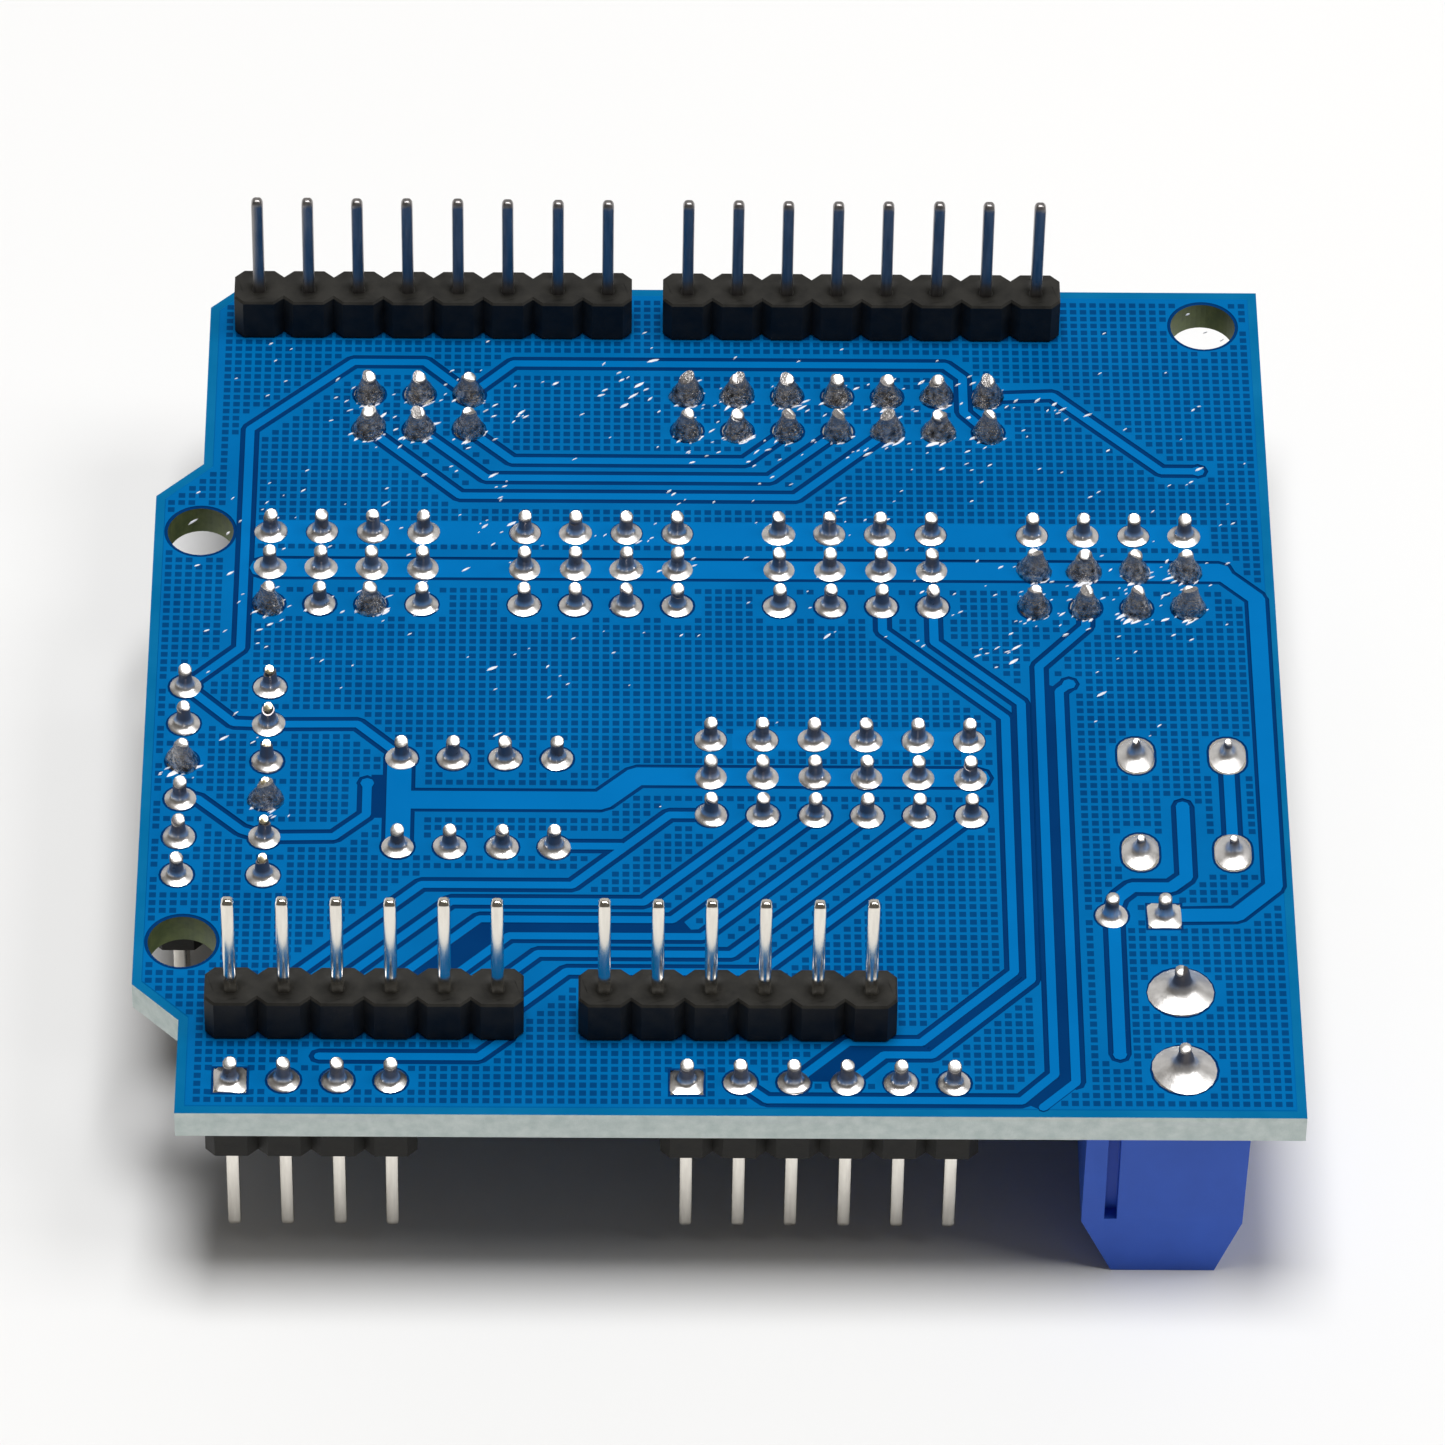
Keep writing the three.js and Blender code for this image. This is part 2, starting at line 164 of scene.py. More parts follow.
def circle(x, y, z, r, count, start=0.0, squash=(1, 1)):
    """A level ring of points."""
    ring = []
    for k in range(count):
        angle = start + 2 * math.pi * k / count
        ring.append((x + r * squash[0] * math.cos(angle), y + r * squash[1] * math.sin(angle), z))
    return ring


def square(x, y, z, half_x, half_y=None):
    half_y = half_x if half_y is None else half_y
    return [
        (x - half_x, y - half_y, z),
        (x + half_x, y - half_y, z),
        (x + half_x, y + half_y, z),
        (x - half_x, y + half_y, z),
    ]


# ----------------------------------------------------------------------- materials
def nodes_of(name):
    material = bpy.data.materials.new(name)
    material.use_nodes = True
    tree = material.node_tree
    return material, tree, tree.nodes["Principled BSDF"]


def place_coords(tree, scale=(1, 1, 1)):
    """Object coordinates in millimetres, stretched by scale."""
    coords = tree.nodes.new("ShaderNodeTexCoord")
    mapping = tree.nodes.new("ShaderNodeMapping")
    mapping.inputs["Scale"].default_value = [s / MM for s in scale]
    tree.links.new(coords.outputs["Object"], mapping.inputs["Vector"])
    return mapping.outputs["Vector"]


def noise(tree, vector, size, detail=3.0, rough=0.55):
    """Noise whose lumps are about size millimetres."""
    node = tree.nodes.new("ShaderNodeTexNoise")
    node.inputs["Scale"].default_value = 1.0 / size
    node.inputs["Detail"].default_value = detail
    node.inputs["Roughness"].default_value = rough
    tree.links.new(vector, node.inputs["Vector"])
    return node.outputs["Fac"]


def ramp(tree, factor, stops):
    """A ramp of (position, value or colour) stops."""
    node = tree.nodes.new("ShaderNodeValToRGB")
    band = node.color_ramp
    while len(band.elements) < len(stops):
        band.elements.new(0.5)
    for element, (position, value) in zip(band.elements, stops):
        element.position = position
        rgb = (value,) * 3 if isinstance(value, (int, float)) else tuple(value)
        element.color = (*rgb, 1)
    tree.links.new(factor, node.inputs["Fac"])
    return node.outputs["Color"]


def bump(tree, shader, height, strength, distance):
    node = tree.nodes.new("ShaderNodeBump")
    node.inputs["Strength"].default_value = strength
    node.inputs["Distance"].default_value = distance * MM
    tree.links.new(height, node.inputs["Height"])
    tree.links.new(node.outputs["Normal"], shader.inputs["Normal"])


def finish(name, dark, light, rough, lump=2.0, grain=0.15, grain_depth=0.004, metal=0.0,
           stretch=(1, 1, 1), specular=0.5):
    """A surface whose colour and roughness drift over lumps, with a fine grain as bump."""
    material, tree, shader = nodes_of(name)
    vector = place_coords(tree, stretch)
    drift = noise(tree, vector, lump, 4.0)
    fine = noise(tree, vector, grain, 2.0)
    tree.links.new(ramp(tree, drift, [(0.3, dark), (0.7, light)]), shader.inputs["Base Color"])
    tree.links.new(ramp(tree, drift, [(0.25, rough[0]), (0.75, rough[1])]), shader.inputs["Roughness"])
    shader.inputs["Metallic"].default_value = metal
    shader.inputs["Specular IOR Level"].default_value = specular
    bump(tree, shader, fine, 0.6, grain_depth)
    return material


def solder_finish(name, dark, light, rough, neck, low, high, mottle=0.5, depth=0.010):
    """Metal that darkens from its base, low mm over the solder face, to its neck, high mm over it; the
    darker, less metallic neck is painted shade standing in for the dark reflection of the steep upper
    faces.
    """
    material, tree, shader = nodes_of(name)
    vector = place_coords(tree)
    drift = noise(tree, vector, mottle, 4.0)
    base = ramp(tree, drift, [(0.3, dark), (0.7, light)])
    split = tree.nodes.new("ShaderNodeSeparateXYZ")
    tree.links.new(vector, split.inputs["Vector"])
    climb = tree.nodes.new("ShaderNodeMapRange")
    climb.interpolation_type = "SMOOTHSTEP"
    climb.inputs["From Min"].default_value = ORIGIN.z / MM + low
    climb.inputs["From Max"].default_value = ORIGIN.z / MM + high
    tree.links.new(split.outputs["Z"], climb.inputs["Value"])
    mix = tree.nodes.new("ShaderNodeMix")
    mix.data_type = "RGBA"
    tree.links.new(climb.outputs["Result"], mix.inputs["Factor"])
    tree.links.new(base, mix.inputs["A"])
    mix.inputs["B"].default_value = (*neck, 1)
    metal = tree.nodes.new("ShaderNodeMapRange")
    metal.inputs["To Min"].default_value = 1.0
    metal.inputs["To Max"].default_value = 0.55
    tree.links.new(climb.outputs["Result"], metal.inputs["Value"])
    tree.links.new(metal.outputs["Result"], shader.inputs["Metallic"])
    tree.links.new(mix.outputs["Result"], shader.inputs["Base Color"])
    tree.links.new(ramp(tree, drift, [(0.25, rough[0]), (0.75, rough[1])]), shader.inputs["Roughness"])
    bump(tree, shader, noise(tree, vector, 0.1, 2.0), 0.6, depth)
    return material


def mask(name, dark, light, rough=(0.28, 0.40), lump=4.0, specular=0.02):
    """Solder mask over something: what lies under it shows in its colour; the margin and component-side
    copies also carry painted light and shade.
    """
    return finish(name, dark, light, rough, lump, 0.25, 0.003, specular=specular)


def metallic(name, dark, light, rough, lump=0.5, grain=0.08, grain_depth=0.006, shine=1.0,
             stretch=(1, 1, 1)):
    """Bare or plated metal; shine is how metallic it is."""
    return finish(name, dark, light, rough, lump, grain, grain_depth, shine, stretch)


ALONG_PIN = (3, 3, 0.3)
MASK_COPPER = mask("mask_over_copper", (0.0, 0.132, 0.385), (0.0, 0.150, 0.430), (0.30, 0.42), 6.0)
MASK_BARE = mask("mask_over_laminate", (0.0, 0.028, 0.120), (0.0, 0.036, 0.145), lump=6.0)
MASK_POUR = mask("mask_over_pour", (0.0, 0.115, 0.335), (0.0, 0.132, 0.375))
MASK_HATCH = mask("mask_in_openings", (0.0, 0.045, 0.160), (0.0, 0.057, 0.192))
# painted light: the copper-free margin is a lighter teal, standing in for light shining through the
# translucent laminate at the board edge
MASK_MARGIN_GLOW = mask("mask_at_margin_painted_glow", (0.0, 0.115, 0.28), (0.003, 0.145, 0.33))
# painted shade: the component-side mask is a much darker copy of the solder-side mask, so it reads as
# shaded and throws less blue light into the shadow under the board
UNDER_COPPER_DARKENED = mask(
    "under_mask_copper_painted_shade", (0.003, 0.045, 0.12), (0.004, 0.06, 0.15), (0.30, 0.42), 6.0, 0.2
)
UNDER_BARE_DARKENED = mask(
    "under_mask_laminate_painted_shade", (0.001, 0.018, 0.05), (0.001, 0.024, 0.065), lump=6.0, specular=0.2
)
LAMINATE = finish(
    "laminate_edge", (0.64, 0.75, 0.73), (0.82, 0.91, 0.89), (0.6, 0.8), 0.6, 0.06, 0.02, specular=0.2
)
LEGEND = finish("legend_white", (0.74, 0.74, 0.72), (0.84, 0.84, 0.83), (0.5, 0.6), 1.0, 0.1, 0.004)
TIN = metallic(
    "tinned_pin", (0.75, 0.71, 0.64), (0.89, 0.85, 0.77), (0.10, 0.18), 0.5, 0.05, 0.002,
    stretch=ALONG_PIN,
)
# painted shade: a darker copy of the tinned pin for the far digital pins, standing in for the dark board
# reflected in them
FAR_PIN_SHADE = metallic(
    "far_pin_painted_dark", (0.24, 0.23, 0.23), (0.36, 0.34, 0.33), (0.34, 0.46), 0.5, 0.05, 0.002,
    stretch=ALONG_PIN,
)
# painted shade: dark sides for the clipped tin tails, standing in for the dark board reflected in their
# steep faces; the cut tops stay bright
TAIL_SIDE_SHADE = metallic("tail_side_painted_dark", (0.12, 0.108, 0.110), (0.22, 0.20, 0.20), (0.42, 0.56), shine=0.4)
CUT_TIN = metallic(
    "clipped_pin", (0.50, 0.48, 0.46), (0.84, 0.82, 0.80), (0.32, 0.46), 0.3, grain_depth=0.010
)
# painted shade: dark sides for the gilt socket tails, standing in for the dark board reflected in their
# steep faces; the tops stay gold
GILT_TAIL_SIDE_SHADE = metallic(
    "gilt_tail_side_painted_dark", (0.09, 0.07, 0.05), (0.24, 0.17, 0.09), (0.35, 0.5), 0.3, shine=0.6
)
GOLD = metallic("flash_gold", (0.86, 0.74, 0.48), (0.95, 0.86, 0.62), (0.22, 0.34), 0.5, 0.06, 0.002)
# painted shade: each solder turns darker and less metallic towards its neck, standing in for the dark
# reflection of its steep upper faces
SOLDER = solder_finish(
    "solder", (0.80, 0.77, 0.75), (0.97, 0.95, 0.93), (0.26, 0.38), (0.20, 0.18, 0.185), 0.24, 0.66
)
BRIGHT_SOLDER = solder_finish(
    "bright_solder", (0.80, 0.78, 0.76), (0.96, 0.94, 0.92), (0.32, 0.46), (0.13, 0.12, 0.125), 0.42, 1.0
)
DULL_SOLDER = solder_finish(
    "dull_solder", (0.05, 0.048, 0.046), (0.84, 0.80, 0.77), (0.14, 0.36), (0.34, 0.32, 0.31), 0.5, 1.4,
    mottle=0.24, depth=0.10,
)
BLACK = finish(
    "header_black", (0.012, 0.0115, 0.010), (0.026, 0.0245, 0.021), (0.42, 0.60), 0.9, 0.12, 0.012,
    specular=0.2,
)
TERMINAL_BLUE = finish(
    "terminal_blue", (0.036, 0.118, 0.60), (0.043, 0.136, 0.67), (0.34, 0.46), 3.0, 0.2, 0.004,
    specular=0.2,
)
# partly painted light: real flux streaks, with a near-white colour that stands in for the glints they
# catch
FLECK_GLINT = finish("flux_fleck_glint", (0.62, 0.66, 0.76), (0.95, 0.94, 0.95), (0.3, 0.5), 0.8, 0.1, 0.002)
# painted shade: the mounting-hole wall is a much darker copy of the laminate edge, standing in for the
# shade inside the holes
SHADED_WALL = finish("drilled_wall_painted_shade", (0.09, 0.125, 0.05), (0.17, 0.21, 0.08), (0.5, 0.7), 0.5, 0.05, 0.01)


# --------------------------------------------------------------------- pin headers
def header_cells(along, down):
    return [(i, j) for i in range(along) for j in range(down)]


CELL_FLAT, CELL_NOTCH = 0.78, 0.79
FUNNEL_POINTS = 24


def cell_ring(i, j, along, down, inset):
    """Outline of one insulator cell about its pin: (x, y) points, anticlockwise from the right."""
    half, flat, notch, edge = INSULATOR_HALF, CELL_FLAT, CELL_NOTCH, PITCH / 2
    right, left, up, low = i + 1 < along, i > 0, j > 0, j + 1 < down
    ring = []
    quarters = [(1, 1, right, up), (-1, 1, left, up), (-1, -1, left, low), (1, -1, right, low)]
    for sx, sy, next_x, next_y in quarters:
        if next_x and next_y:
            pair = [(edge, edge)]
        elif next_x:
            pair = [(edge, notch - 1.3 * inset), (flat - 0.4 * inset, half - inset)]
        elif next_y:
            pair = [(half - inset, flat - 0.4 * inset), (notch - 1.3 * inset, edge)]
        else:
            pair = [(half - inset, flat - 0.4 * inset), (flat - 0.4 * inset, half - inset)]
        if sx * sy < 0:
            pair = pair[::-1]
        ring.extend((sx * px, sy * py) for px, py in pair)
    return ring


def on_seam(a, b):
    """Whether an outline's edge is shared with the next cell."""
    edge = PITCH / 2
    return any(abs(a[k] - b[k]) < 1e-6 and abs(abs(a[k]) - edge) < 1e-6 for k in (0, 1))


# radius and depth of the dished mouth round each pin
FUNNEL = [(0.90, 0.0), (0.76, 0.02), (0.60, 0.06), (0.46, 0.12), (0.36, 0.20)]


def bridge(points, outer, inner, cx, cy):
    """Triangles between two rings of different counts about a centre, both anticlockwise."""

    def turn(i):
        return math.atan2(points[i][1] - cy, points[i][0] - cx) % (2 * math.pi)

    outer = sorted(outer, key=turn)
    inner = sorted(inner, key=turn)
    a, b = 0, 0
    faces = []
    while a < len(outer) or b < len(inner):
        next_a = turn(outer[a]) if a < len(outer) else 9.0
        next_b = turn(inner[b]) if b < len(inner) else 9.0
        last_a, last_b = outer[a - 1], inner[b - 1]
        if next_a <= next_b:
            faces.append([last_a, outer[a], last_b])
            a += 1
        else:
            faces.append([last_a, inner[b], last_b])
            b += 1
    return faces


def insulator(build, x, y, along, down, solder_side):
    """The moulded strip: chamfered cells with a V between, and a funnel round each pin."""

    turns, height = FUNNEL_POINTS, INSULATOR_H

    def level(z):
        return z if solder_side else -BOARD_T - z

    for i, j in header_cells(along, down):
        cx, cy = x + i * PITCH, y - j * PITCH
        stages = [(0.0, 0.10), (0.14, 0.0), (height - 0.10, 0.0), (height, 0.10)]
        rings = []
        for z, inset in stages:
            ring = cell_ring(i, j, along, down, inset)
            rings.append([(cx + px, cy + py, level(z)) for px, py in ring])
        count = len(rings[0])
        bare = cell_ring(i, j, along, down, 0.0)
        points = [p for ring in rings for p in ring]
        faces = []
        for stage in range(3):
            for k in range(count):
                n = (k + 1) % count
                if not on_seam(bare[k], bare[n]):
                    a = stage * count
                    faces.append([a + k, a + n, a + count + n, a + count + k])
        faces.append(list(range(count)))
        top = 3 * count
        for r, depth in FUNNEL:
            points += circle(cx, cy, level(height - depth), r, turns)
        around = top + count
        for ring in range(len(FUNNEL) - 1):
            a = around + turns * ring
            for k in range(turns):
                n = (k + 1) % turns
                faces.append([a + k, a + n, a + turns + n, a + turns + k])
        faces.append([around + turns * (len(FUNNEL) - 1) + k for k in range(turns)])
        rim = [top + k for k in range(count)]
        faces.extend(bridge(points, rim, [around + k for k in range(turns)], cx, cy))
        build.add(points, faces)


def pin(build, x, y, z0, z1, half=PIN_HALF, tip=0.4, lean=(0.0, 0.0)):
    """A square pin with rounded long edges and a blunt point at its z1 end."""
    up = 1 if z1 > z0 else -1

    def ring(z, h, c):
        share = (z - z0) / (z1 - z0)
        cx, cy = x + lean[0] * share, y + lean[1] * share
        d = 0.3 * c
        corner = [(h - c, h), (h - d, h - d), (h, h - c)]
        points = []
        for turn in range(4):
            for px, py in corner[::-1]:
                points.append((cx + px, cy + py, z))
            corner = [(-py, px) for px, py in corner]
        return points

    stages = [(0.0, 1.0), (0.30, 0.975), (0.55, 0.88), (0.85, 0.66), (1.0, 0.42)]
    rings = [ring(z0, half, PIN_ROUND)]
    for share, size in stages:
        rings.append(ring(z1 - up * tip * (1 - share), half * size, PIN_ROUND * size))
    build.add(*lofted(rings))


TAIL_POINTS = 12


def cut_tail(build, x, y, z1, rng, side_slot, top_slot, half=PIN_HALF):
    """The clipped end of a pin where it leaves its joint, cut a little towards the near edge."""
    slant = rng.uniform(-0.18, 0.18), rng.uniform(0.20, 0.42)
    stages = [(0.0, 0.9), (z1 - 0.40, 0.94), (z1 - 0.16, 0.98), (z1 - 0.05, 0.96), (z1, 0.78)]
    rings = []
    for z, size in stages:
        ring = []
        for px, py, _ in circle(0, 0, 0, half * size * 1.08, TAIL_POINTS, math.pi / TAIL_POINTS):
            tilt = slant[0] * px + slant[1] * (py - half) if z > z1 - 0.3 else 0.0
            ring.append((x + px, y + py, z + tilt))
        rings.append(ring)
    points, faces = lofted(rings)
    first = len(build.faces)
    build.add(points, faces, side_slot)
    sides = TAIL_POINTS * (len(stages) - 1)
    for k in range(first + sides - TAIL_POINTS, first + len(faces)):
        if k != first + sides:
            build.slots[k] = top_slot


def make_headers():
    """Each header node becomes its insulator and its pins."""
    for name, x, y, along, down, solder_side in HEADERS:
        body = Build()
        insulator(body, x, y, along, down, solder_side)
        body.make(f"{name}_insulator", [BLACK], nodes=[name], smooth=28, slot="header_plastic")
        rng = random.Random(name)
        pins = Build()
        for i, j in header_cells(along, down):
            px, py = x + i * PITCH, y - j * PITCH
            lean = (rng.uniform(-0.03, 0.03), rng.uniform(-0.03, 0.03))
            if solder_side:
                half = DIGITAL_PIN_HALF if "digital" in name else ANALOG_PIN_HALF
                pin(pins, px, py, -BOARD_T - TAIL, PIN_TOP, half, lean=lean)
            else:
                pin(pins, px, py, 0.3, -BOARD_T - PIN_TOP, lean=lean)
                cut_tail(pins, px, py, TAIL, rng, 1, 2)
        # the far digital pins take the darker painted-shade copy of the tin
        plating = FAR_PIN_SHADE if "digital" in name else TIN
        pins.make(f"{name}_pins", [plating, TAIL_SIDE_SHADE, CUT_TIN], smooth=40, slot="tinned_metal")


def make_card_socket():
    """A tall strip of square mouths on the component side, with thin gilt tails."""
    half, foot, mouth, throat, deep = 1.24, 0.12, 0.46, 0.33, 6.0
    block, tails = Build(), Build()
    rng = random.Random("card_socket")
    for j in range(CARD_PINS):
        x, y = CARD_X, CARD_Y - j * PITCH
        stages = [
            (0.0, half - foot, PITCH / 2), (foot, half, PITCH / 2), (CARD_H - foot, half, PITCH / 2),
            (CARD_H, half - foot, PITCH / 2), (CARD_H, mouth, mouth), (CARD_H - 0.4, throat, throat),
            (CARD_H - deep, throat, throat),
        ]
        rings = [square(x, y, -BOARD_T - z, hx, hy) for z, hx, hy in stages]
        points, faces = lofted(rings)
        seams = ([0] if j + 1 < CARD_PINS else []) + ([2] if j else [])
        kept = [f for n, f in enumerate(faces) if n >= 12 or n % 4 not in seams]
        block.add(points, kept)
        cut_tail(tails, x, y, TAIL, rng, 0, 1, 0.24)
    block.make("card_socket_block", [BLACK], nodes=["card_socket"], slot="header_plastic")
    tails.make("card_socket_tails", [GILT_TAIL_SIDE_SHADE, GOLD], smooth=40, slot="tinned_metal")


make_headers()
make_card_socket()


# ------------------------------------------------------------------- circuit board
COPPER = 0.035
SLOPE = 0.05
GAP = 0.26
PAD_R = 0.78
PAD_GAP = 0.12
POUR_INSET = 0.45
HATCH = 0.508
OPENING = 0.168
OPENING_KEEP = 0.26
HOLE_POINTS = 40
TERMINAL_PAD_R = 1.55
DOT = 0.001


def pads_of_headers():
    """Pad centres by header name, first pin first."""
    found = {}
    for name, x, y, along, down, _ in HEADERS:
        found[name] = [(x + i * PITCH, y - j * PITCH) for i, j in header_cells(along, down)]
    found["card_socket"] = [(CARD_X, CARD_Y - j * PITCH) for j in range(CARD_PINS)]
    return found


PADS = pads_of_headers()
RESET_PADS = [(SWITCH_X + sx * LEG_X, SWITCH_Y + sy * LEG_Y) for sx in (-1, 1) for sy in (-1, 1)]
SELECT_PADS = [(SELECT_X, SELECT_Y), (SELECT_X + PITCH, SELECT_Y)]
SQUARE_PADS = [PADS["edge_header_short"][0], PADS["edge_header_long"][0], SELECT_PADS[1]]
TERMINAL_PADS = [(TERMINAL_X, TERMINAL_Y + s * TERMINAL_PITCH / 2) for s in (-1, 1)]


def solder_side_tracks():
    """(width, clearance, points) of each track under the blue mask."""
    thin = 0.45
    tracks = [
        (thin, GAP, [
            (-2.93, -26.1), (-0.3, -23.4), (-0.27, -7.9), (4.85, -2.95), (8.5, -2.95), (10.8, -5.33),
        ]),
        (thin, GAP, [
            (10.8, -5.33), (13.0, -3.0), (35.0, -3.0), (35.87, -3.9), (35.87, -6.4), (37.08, -7.87),
        ]),
        (thin, GAP, [(37.08, -5.33), (40.4, -5.15), (45.75, -10.57), (47.6, -10.57)]),
        (thin, GAP, [(5.715, -7.87), (10.4, -12.6), (27.3, -12.6), (32.0, -7.87)]),
        (thin, GAP, [(8.255, -7.87), (11.7, -11.3), (26.0, -11.3), (29.46, -7.87)]),
        (thin, GAP, [(10.795, -7.87), (13.0, -10.05), (24.75, -10.05), (26.92, -7.87)]),
        (thin, GAP, [
            (31.5, -20.32), (31.5, -22.0), (37.45, -27.95), (37.45, -44.9), (32.9, -49.5),
            (29.4, -49.5), (26.79, -52.1),
        ]),
        (thin, GAP, [
            (34.04, -20.32), (34.05, -22.75), (38.25, -26.95), (38.25, -45.4), (33.4, -50.3),
            (31.1, -50.3), (29.33, -52.1),
        ]),
        (thin, GAP, [
            (41.66, -20.32), (41.6, -21.6), (39.2, -24.4), (39.2, -51.5), (37.6, -53.2), (25.5, -53.2),
            (24.25, -52.1),
        ]),
        (thin, GAP, [(40.65, -25.6), (40.15, -26.1), (40.2, -52.0)]),
        (thin, 0.0, [(40.2, -52.0), (38.6, -53.6)]),
        (thin, GAP, [
            (-2.93, -26.1), (-2.4, -26.6), (-0.5, -28.55), (1.24, -28.64), (5.6, -28.6), (7.3, -30.3),
            (7.79, -30.91),
        ]),
        (thin, GAP, [
            (-2.93, -33.72), (-2.1, -33.7), (0.1, -35.8), (1.24, -36.26), (4.6, -36.2), (6.15, -34.7),
            (6.15, -32.6),
        ]),
        (thin, GAP, [(15.3, -36.86), (15.6, -36.75), (18.6, -36.75)]),
        (1.2, 0.2, [(7.7, -30.91), (7.7, -36.86)]),
        (1.2, 0.2, [(7.7, -33.7), (17.6, -33.7), (19.3, -32.05), (36.0, -32.05)]),
        (1.25, 0.2, [(0.6, -17.78), (46.9, -17.78), (48.4, -17.78)]),
        (0.85, 0.2, [(48.4, -17.78), (50.18, -19.6), (50.18, -39.2), (48.3, -41.1), (44.79, -41.15)]),
        (0.55, GAP, [(48.3, -30.5), (48.3, -37.0)]),
        (0.65, GAP, [
            (42.25, -41.2), (42.6, -40.0), (43.3, -39.3), (45.2, -39.3), (45.95, -38.6),
            (45.95, -33.9),
        ]),
        (0.6, GAP, [(42.35, -41.2), (42.35, -50.2)]),
        (thin, GAP, [(4.2, -50.55), (11.8, -50.55), (13.2, -49.2)]),
    ]
    rows = [-39.35, -40.45, -41.6, -42.7, -43.85, -45.0]
    for k, row in enumerate(rows):
        x, y = PADS["analog_signal"][k]
        target = PITCH * k
        if k == 0:
            start = [(x, y), (20.9, -34.64), (16.2, row)]
        else:
            start = [(x, y), (x - (y - row), row)]
        drop = row - HOST_ROW_Y
        tracks.append((thin, GAP, start + [(target + drop, row), (target, HOST_ROW_Y)]))
    return tracks


VIAS = [(40.65, -25.6), (6.15, -32.6), (47.6, -10.57), (45.95, -33.9), (42.35, -50.2)]
VIA_R = 0.34
# bands of the pour that have no openings: x0, y0, x1, y1
SOLID_BANDS = [(0.2, -16.15, 48.0, -14.45), (24.0, -30.2, 35.6, -28.9)]
# gaps between tracks too narrow for the pour to reach
BARE_PATCHES = [
    [(11.7, -41.7), (5.8, -47.6), (8.2, -47.6), (13.2, -42.6), (22.2, -42.6), (21.6, -41.7)],
    [(29.4, -49.6), (26.9, -52.0), (29.3, -52.0), (31.1, -50.2), (33.2, -50.2), (33.0, -49.6)],
    [(39.4, -25.5), (39.3, -51.6), (37.7, -53.3), (38.4, -53.7), (40.0, -52.0), (40.0, -25.8)],
    [(6.35, -34.9), (7.1, -34.9), (7.1, -32.0), (6.35, -32.0)],
]


def capsule(a, b, r, count=5):
    """Outline of a round-ended bar between two points."""
    angle = math.atan2(b[1] - a[1], b[0] - a[0])
    ring = []
    for (x, y), turn in ((b, -0.5), (a, 0.5)):
        for k in range(count):
            t = angle + math.pi * (turn + k / (count - 1))
            ring.append((x + r * math.cos(t), y + r * math.sin(t)))
    return ring


def board_outline(inset=0.0):
    """The outline moved inwards, anticlockwise."""
    corners = [
        (EDGE_X, BOTTOM), (RIGHT, BOTTOM), (RIGHT, TOP), (-1.02, TOP), (EDGE_X, 1.02),
        (EDGE_X, -10.41), (LEFT, -12.72), (LEFT, -45.95), (EDGE_X, -48.26),
    ]
    if not inset:
        return corners
    moved = []
    for k, here in enumerate(corners):
        before, after = Vector(corners[k - 1]), Vector(corners[(k + 1) % len(corners)])
        here = Vector(here)
        d1, d2 = (here - before).normalized(), (after - here).normalized()
        n1, n2 = Vector((-d1.y, d1.x)), Vector((-d2.y, d2.x))
        mitre = (n1 + n2) / (1 + n1.dot(n2))
        moved.append(tuple(here + mitre * inset))
    return moved


def distance_to(px, py, a, b):
    """Distance of many points from one segment."""
    dx, dy = b[0] - a[0], b[1] - a[1]
    length2 = dx * dx + dy * dy
    t = np.clip(((px - a[0]) * dx + (py - a[1]) * dy) / length2, 0, 1) if length2 else 0.0
    return np.hypot(px - a[0] - t * dx, py - a[1] - t * dy)


def inside_outline(px, py, outline):
    inside = np.zeros(px.shape, bool)
    for k in range(len(outline)):
        (x0, y0), (x1, y1) = outline[k - 1], outline[k]
        crosses = (y0 > py) != (y1 > py)
        with np.errstate(divide="ignore", invalid="ignore"):
            at_x = (x1 - x0) * (py - y0) / (y1 - y0) + x0
        inside ^= crosses & (px < at_x)
    return inside


